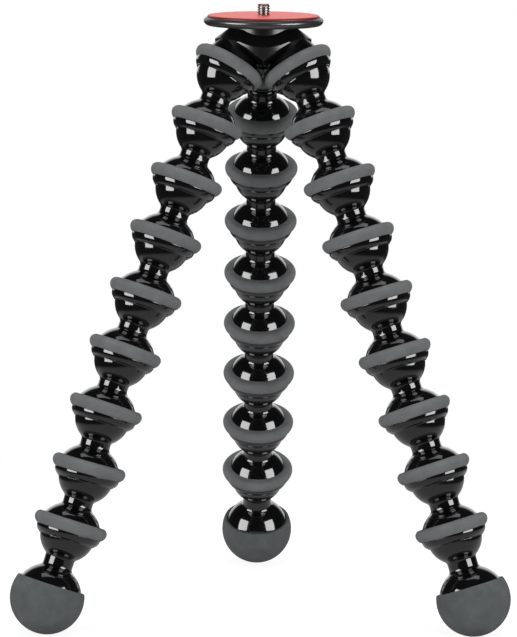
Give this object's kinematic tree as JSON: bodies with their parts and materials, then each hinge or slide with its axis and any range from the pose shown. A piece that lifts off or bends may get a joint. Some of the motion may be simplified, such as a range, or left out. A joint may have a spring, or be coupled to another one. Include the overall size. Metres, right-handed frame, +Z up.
{
  "type": "flexible leg tripod",
  "caption": "Small camera stand with bendable legs of ball-and-socket links, rubber grip rings and feet, a round padded platform and a camera screw.",
  "frame": {"origin": "on the floor, under the middle of the box round the whole stand", "axes": "+Z up, along the camera screw; the two front legs stand towards -Y, left and right of the middle, and the rear leg towards +Y"},
  "size_m": [0.2464, 0.2184, 0.3064],
  "materials": {
    "gloss_black": "high gloss moulded",
    "hub_black": "gloss black",
    "platform_black": "satin black",
    "grip_rubber": "matt, fine grain",
    "boot_rubber": "matt, fine grain",
    "pad_red": "matt",
    "screw_steel": "bright"
  },
  "bodies": {
    "hub": {"hub_casting": "hub_black", "hub_grips": "grip_rubber", "camera_platform": "platform_black", "platform_pad": "pad_red", "camera_screw": "screw_steel"},
    "left_link_1": {"left_link_1": "gloss_black", "left_grip_1": "grip_rubber"},
    "left_link_2": {"left_link_2": "gloss_black", "left_grip_2": "grip_rubber"},
    "left_link_3": {"left_link_3": "gloss_black", "left_grip_3": "grip_rubber"},
    "left_link_4": {"left_link_4": "gloss_black", "left_grip_4": "grip_rubber"},
    "left_link_5": {"left_link_5": "gloss_black", "left_grip_5": "grip_rubber"},
    "left_link_6": {"left_link_6": "gloss_black", "left_grip_6": "grip_rubber"},
    "left_link_7": {"left_link_7": "gloss_black", "left_grip_7": "grip_rubber"},
    "left_link_8": {"left_link_8": "gloss_black", "left_grip_8": "grip_rubber"},
    "left_foot": {"left_foot_stem": "gloss_black", "left_foot_boot": "boot_rubber"},
    "right_link_1": {"right_link_1": "gloss_black", "right_grip_1": "grip_rubber"},
    "right_link_2": {"right_link_2": "gloss_black", "right_grip_2": "grip_rubber"},
    "right_link_3": {"right_link_3": "gloss_black", "right_grip_3": "grip_rubber"},
    "right_link_4": {"right_link_4": "gloss_black", "right_grip_4": "grip_rubber"},
    "right_link_5": {"right_link_5": "gloss_black", "right_grip_5": "grip_rubber"},
    "right_link_6": {"right_link_6": "gloss_black", "right_grip_6": "grip_rubber"},
    "right_link_7": {"right_link_7": "gloss_black", "right_grip_7": "grip_rubber"},
    "right_link_8": {"right_link_8": "gloss_black", "right_grip_8": "grip_rubber"},
    "right_foot": {"right_foot_stem": "gloss_black", "right_foot_boot": "boot_rubber"},
    "rear_link_1": {"rear_link_1": "gloss_black", "rear_grip_1": "grip_rubber"},
    "rear_link_2": {"rear_link_2": "gloss_black", "rear_grip_2": "grip_rubber"},
    "rear_link_3": {"rear_link_3": "gloss_black", "rear_grip_3": "grip_rubber"},
    "rear_link_4": {"rear_link_4": "gloss_black", "rear_grip_4": "grip_rubber"},
    "rear_link_5": {"rear_link_5": "gloss_black", "rear_grip_5": "grip_rubber"},
    "rear_link_6": {"rear_link_6": "gloss_black", "rear_grip_6": "grip_rubber"},
    "rear_link_7": {"rear_link_7": "gloss_black", "rear_grip_7": "grip_rubber"},
    "rear_link_8": {"rear_link_8": "gloss_black", "rear_grip_8": "grip_rubber"},
    "rear_foot": {"rear_foot_stem": "gloss_black", "rear_foot_boot": "boot_rubber"}
  },
  "joints": [
    {"name": "left_ball_1_bend_out", "type": "hinge", "parent": "hub", "child": "left_link_1", "pos_m": [-0.01933, -0.04138, 0.27206], "axis": [-0.5, 0.866, 0], "range_deg": [-24.2, 51.8]},
    {"name": "left_ball_2_bend_sideways", "type": "hinge", "parent": "left_link_1", "child": "left_link_2", "pos_m": [-0.02936, -0.04717, 0.24438], "axis": [-0.7995, -0.4616, 0.3843], "range_deg": [-40, 40]},
    {"name": "left_ball_3_bend_out", "type": "hinge", "parent": "left_link_2", "child": "left_link_3", "pos_m": [-0.03934, -0.05293, 0.21669], "axis": [0.5, -0.866, 0], "range_deg": [-39.9, 40.1]},
    {"name": "left_ball_4_bend_sideways", "type": "hinge", "parent": "left_link_3", "child": "left_link_4", "pos_m": [-0.04937, -0.05872, 0.18902], "axis": [0.8047, 0.4646, -0.3697], "range_deg": [-40, 40]},
    {"name": "left_ball_5_bend_out", "type": "hinge", "parent": "left_link_4", "child": "left_link_5", "pos_m": [-0.05897, -0.06427, 0.16114], "axis": [-0.5, 0.866, 0], "range_deg": [-40.8, 39.2]},
    {"name": "left_ball_6_bend_sideways", "type": "hinge", "parent": "left_link_5", "child": "left_link_6", "pos_m": [-0.06891, -0.07001, 0.13343], "axis": [-0.8101, -0.4677, 0.3535], "range_deg": [-40, 40]},
    {"name": "left_ball_7_bend_out", "type": "hinge", "parent": "left_link_6", "child": "left_link_7", "pos_m": [-0.0781, -0.07531, 0.10537], "axis": [0.5, -0.866, 0], "range_deg": [-43, 37]},
    {"name": "left_ball_8_bend_sideways", "type": "hinge", "parent": "left_link_7", "child": "left_link_8", "pos_m": [-0.086, -0.07987, 0.07679], "axis": [0.8133, 0.4695, -0.3437], "range_deg": [-40, 40]},
    {"name": "left_ball_9_bend_out", "type": "hinge", "parent": "left_link_8", "child": "left_foot", "pos_m": [-0.09492, -0.08502, 0.04862], "axis": [-0.5, 0.866, 0], "range_deg": [-40.6, 39.4]},
    {"name": "right_ball_1_bend_out", "type": "hinge", "parent": "hub", "child": "right_link_1", "pos_m": [0.01921, -0.04138, 0.27206], "axis": [-0.5, -0.866, 0], "range_deg": [-24.91, 51.09]},
    {"name": "right_ball_2_bend_sideways", "type": "hinge", "parent": "right_link_1", "child": "right_link_2", "pos_m": [0.02953, -0.04734, 0.24453], "axis": [0.8007, -0.4623, 0.3811], "range_deg": [-40, 40]},
    {"name": "right_ball_3_bend_out", "type": "hinge", "parent": "right_link_2", "child": "right_link_3", "pos_m": [0.03943, -0.05305, 0.2168], "axis": [0.5, 0.866, 0], "range_deg": [-41.5, 38.5]},
    {"name": "right_ball_4_bend_sideways", "type": "hinge", "parent": "right_link_3", "child": "right_link_4", "pos_m": [0.0487, -0.0584, 0.18877], "axis": [-0.8107, 0.468, -0.3518], "range_deg": [-40, 40]},
    {"name": "right_ball_5_bend_out", "type": "hinge", "parent": "right_link_4", "child": "right_link_5", "pos_m": [0.05784, -0.06368, 0.16069], "axis": [-0.5, -0.866, 0], "range_deg": [-40, 40]},
    {"name": "right_ball_6_bend_sideways", "type": "hinge", "parent": "right_link_5", "child": "right_link_6", "pos_m": [0.06698, -0.06896, 0.13261], "axis": [0.8013, -0.4626, 0.3795], "range_deg": [-40, 40]},
    {"name": "right_ball_7_bend_out", "type": "hinge", "parent": "right_link_6", "child": "right_link_7", "pos_m": [0.07684, -0.07465, 0.10486], "axis": [0.5, 0.866, 0], "range_deg": [-40.9, 39.1]},
    {"name": "right_ball_8_bend_sideways", "type": "hinge", "parent": "right_link_7", "child": "right_link_8", "pos_m": [0.08632, -0.08012, 0.07693], "axis": [-0.8133, 0.4695, -0.3437], "range_deg": [-40, 40]},
    {"name": "right_ball_9_bend_out", "type": "hinge", "parent": "right_link_8", "child": "right_foot", "pos_m": [0.09524, -0.08528, 0.04876], "axis": [-0.5, -0.866, 0], "range_deg": [-39.9, 40.1]},
    {"name": "rear_ball_1_bend_out", "type": "hinge", "parent": "hub", "child": "rear_link_1", "pos_m": [-0.00006, -0.008, 0.27206], "axis": [1, 0, 0], "range_deg": [-22, 54]},
    {"name": "rear_ball_2_bend_sideways", "type": "hinge", "parent": "rear_link_1", "child": "rear_link_2", "pos_m": [-0.00006, 0.00251, 0.24396], "axis": [0, 0.9432, 0.3322], "range_deg": [-40, 40]},
    {"name": "rear_ball_3_bend_out", "type": "hinge", "parent": "rear_link_2", "child": "rear_link_3", "pos_m": [-0.00006, 0.01247, 0.21567], "axis": [-1, 0, 0], "range_deg": [-39.5, 40.5]},
    {"name": "rear_ball_4_bend_sideways", "type": "hinge", "parent": "rear_link_3", "child": "rear_link_4", "pos_m": [-0.00006, 0.02268, 0.18746], "axis": [0, -0.9354, -0.3535], "range_deg": [-40, 40]},
    {"name": "rear_ball_5_bend_out", "type": "hinge", "parent": "rear_link_4", "child": "rear_link_5", "pos_m": [-0.00006, 0.03328, 0.1594], "axis": [1, 0, 0], "range_deg": [-40.8, 39.2]},
    {"name": "rear_ball_6_bend_sideways", "type": "hinge", "parent": "rear_link_5", "child": "rear_link_6", "pos_m": [-0.00006, 0.04428, 0.13149], "axis": [0, 0.9272, 0.3746], "range_deg": [-40, 40]},
    {"name": "rear_ball_7_bend_out", "type": "hinge", "parent": "rear_link_6", "child": "rear_link_7", "pos_m": [-0.00006, 0.05552, 0.10367], "axis": [-1, 0, 0], "range_deg": [-40.1, 39.9]},
    {"name": "rear_ball_8_bend_sideways", "type": "hinge", "parent": "rear_link_7", "child": "rear_link_8", "pos_m": [-0.00006, 0.0667, 0.07584], "axis": [0, -0.9143, -0.4051], "range_deg": [-40, 40]},
    {"name": "rear_ball_9_bend_out", "type": "hinge", "parent": "rear_link_8", "child": "rear_foot", "pos_m": [-0.00006, 0.07886, 0.04841], "axis": [1, 0, 0], "range_deg": [-37.8, 42.2]}
  ]
}
